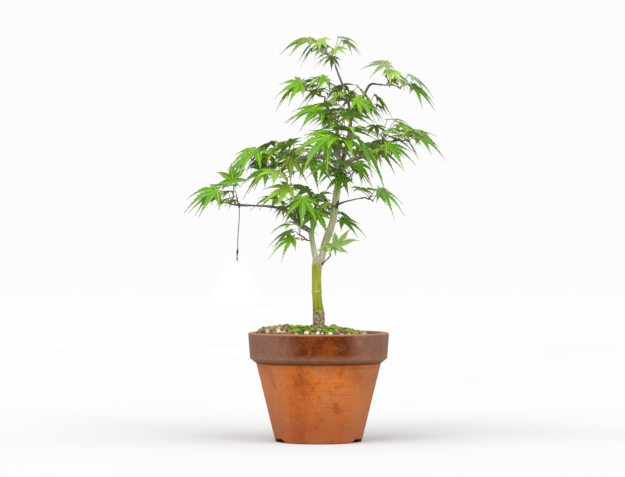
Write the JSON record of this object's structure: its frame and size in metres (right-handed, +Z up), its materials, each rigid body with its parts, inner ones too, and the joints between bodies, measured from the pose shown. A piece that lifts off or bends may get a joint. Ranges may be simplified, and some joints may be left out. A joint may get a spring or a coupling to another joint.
{
  "type": "potted japanese maple",
  "caption": "Young Japanese maple with a forked trunk and airy tiers of lobed leaves, growing in a tapered clay pot, with a blank hang tag on its lowest bough.",
  "frame": {"origin": "on the floor under the middle of the plant's spread; the pot's axis stands 6 mm from it, at x 0.0053, y -0.0030", "axes": "+Z up, -Y towards the side from which the plant is shown, +X to its right"},
  "size_m": [0.2876, 0.272, 0.4454],
  "materials": {
    "pot_clay": "unglazed orange clay body, mottled and dusty, with a dark red-brown glazed rim",
    "soil": "gritty potting mix with small tan, brown and pale pebbles",
    "moss": "low bright green moss",
    "bark": "smooth young yellow-green bark with fine pale streaks, grey-brown at the foot",
    "foliage": "thin matte green leaves on reddish stalks",
    "tag_card": "white coated card",
    "tag_thread": "thin dark thread and twisted tie"
  },
  "bodies": {
    "root": {"pot": "pot_clay", "soil": "soil", "moss_front": "moss", "moss_left": "moss", "moss_right": "moss", "trunk": "bark", "left_stem": "bark", "leader": "bark", "left_bough": "bark", "right_bough": "bark", "left_middle_bough": "bark", "upper_left_bough": "bark", "upper_right_bough": "bark", "top_leader": "bark", "upper_right_branch": "bark", "right_low_branch": "bark", "front_bough": "bark", "back_bough": "bark", "back_high": "foliage", "back_left": "foliage", "back_low": "foliage", "back_middle": "foliage", "back_right": "foliage", "far_left": "foliage", "fork_right": "foliage", "front_high": "foliage", "front_low": "foliage", "inner_left": "foliage", "leader_right": "foliage", "left_rise": "foliage", "left_star": "foliage", "left_tip": "foliage", "left_upper": "foliage", "low_front": "foliage", "low_left": "foliage", "right_inner": "foliage", "right_low": "foliage", "right_middle": "foliage", "right_rise": "foliage", "right_tip": "foliage", "top": "foliage", "upper_front": "foliage", "upper_left": "foliage", "upper_middle": "foliage", "upper_right": "foliage", "upper_right_inner": "foliage", "tag_card": "tag_card", "tag_thread": "tag_thread"}
  },
  "joints": []
}
